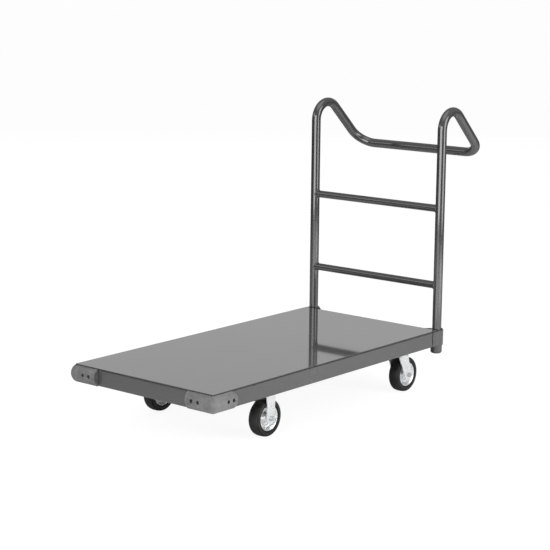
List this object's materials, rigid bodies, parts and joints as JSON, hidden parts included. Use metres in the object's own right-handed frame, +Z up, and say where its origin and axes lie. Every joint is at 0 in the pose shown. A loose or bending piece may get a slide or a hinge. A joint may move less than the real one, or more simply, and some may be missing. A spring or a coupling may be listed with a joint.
{
  "type": "platform truck",
  "caption": "Steel-deck platform truck with a lift-out bent-tube push handle, cast corner guards, rigid casters in front and swivel casters under the handle end.",
  "frame": {"origin": "on the floor, under the middle of the truck's whole length (guards' noses to the back of the grip) and width", "axes": "+X towards the handle end, +Y to the left when looking from the front guards to the handle, +Z up"},
  "size_m": [1.5453, 0.6436, 1.0166],
  "materials": {
    "deck_paint": "gloss grey enamel",
    "frame_paint": "satin grey enamel",
    "guard_casting": "satin grey enamel over a rough casting",
    "dark_steel": "blackened",
    "handle_paint": "gloss dark grey enamel",
    "zinc_plate": "bright zinc plate",
    "zinc_fastener": "zinc plate",
    "bearing_steel": "greased",
    "rim_zinc": "bright zinc plate",
    "tyre_rubber": "black moulded rubber"
  },
  "bodies": {
    "frame": {"deck_sheet": "deck_paint", "front_apron": "frame_paint", "rear_apron": "frame_paint", "side_rail_left": "frame_paint", "side_rail_right": "frame_paint", "front_cross_member": "frame_paint", "middle_cross_member": "frame_paint", "rear_cross_member": "frame_paint", "handle_socket_left": "frame_paint", "handle_socket_right": "frame_paint", "socket_bracket_left": "frame_paint", "socket_bracket_right": "frame_paint", "corner_guard_left": "guard_casting", "corner_guard_right": "guard_casting", "corner_guard_screws": "dark_steel", "rigid_top_plate_left": "zinc_plate", "rigid_top_plate_right": "zinc_plate", "rigid_fork_left": "zinc_plate", "rigid_fork_right": "zinc_plate", "swivel_top_plate_left": "zinc_plate", "swivel_top_plate_right": "zinc_plate", "caster_mount_bolts": "zinc_fastener", "caster_mount_nuts": "zinc_fastener", "front_axle_bolts": "zinc_fastener", "front_axle_nuts": "zinc_fastener", "swivel_kingpins": "zinc_fastener", "kingpin_nuts": "zinc_fastener", "front_axle_bushes": "bearing_steel"},
    "wheel_front_left": {"tyre_front_left": "tyre_rubber", "rim_outer_front_left": "rim_zinc", "rim_inner_front_left": "rim_zinc", "hub_rollers_front_left": "bearing_steel"},
    "wheel_front_right": {"tyre_front_right": "tyre_rubber", "rim_outer_front_right": "rim_zinc", "rim_inner_front_right": "rim_zinc", "hub_rollers_front_right": "bearing_steel"},
    "wheel_rear_left": {"tyre_rear_left": "tyre_rubber", "rim_outer_rear_left": "rim_zinc", "rim_inner_rear_left": "rim_zinc", "hub_rollers_rear_left": "bearing_steel"},
    "wheel_rear_right": {"tyre_rear_right": "tyre_rubber", "rim_outer_rear_right": "rim_zinc", "rim_inner_rear_right": "rim_zinc", "hub_rollers_rear_right": "bearing_steel"},
    "swivel_left": {"swivel_fork_left": "zinc_plate", "swivel_balls_left": "bearing_steel", "rear_axle_bush_left": "bearing_steel", "rear_axle_bolt_left": "zinc_fastener", "rear_axle_nut_left": "zinc_fastener"},
    "swivel_right": {"swivel_fork_right": "zinc_plate", "swivel_balls_right": "bearing_steel", "rear_axle_bush_right": "bearing_steel", "rear_axle_bolt_right": "zinc_fastener", "rear_axle_nut_right": "zinc_fastener"},
    "handle": {"handle_tube": "handle_paint", "upper_rung": "handle_paint", "lower_rung": "handle_paint"}
  },
  "joints": [
    {"name": "handle_lift", "type": "slide", "parent": "frame", "child": "handle", "axis": [0, 0, 1], "range_m": [0, 0.1]},
    {"name": "front_wheel_spin_left", "type": "hinge", "parent": "frame", "child": "wheel_front_left", "pos_m": [-0.42605, 0.237, 0.0635], "axis": [0, 1, 0], "continuous": true},
    {"name": "front_wheel_spin_right", "type": "hinge", "parent": "frame", "child": "wheel_front_right", "pos_m": [-0.42605, -0.237, 0.0635], "axis": [0, 1, 0], "continuous": true},
    {"name": "swivel_turn_left", "type": "hinge", "parent": "frame", "child": "swivel_left", "pos_m": [0.31595, 0.237, 0.144], "axis": [0, 0, 1], "continuous": true},
    {"name": "rear_wheel_spin_left", "type": "hinge", "parent": "swivel_left", "child": "wheel_rear_left", "pos_m": [0.34995, 0.237, 0.0635], "axis": [0, 1, 0], "continuous": true},
    {"name": "swivel_turn_right", "type": "hinge", "parent": "frame", "child": "swivel_right", "pos_m": [0.31595, -0.237, 0.144], "axis": [0, 0, 1], "continuous": true},
    {"name": "rear_wheel_spin_right", "type": "hinge", "parent": "swivel_right", "child": "wheel_rear_right", "pos_m": [0.34995, -0.237, 0.0635], "axis": [0, 1, 0], "continuous": true}
  ]
}
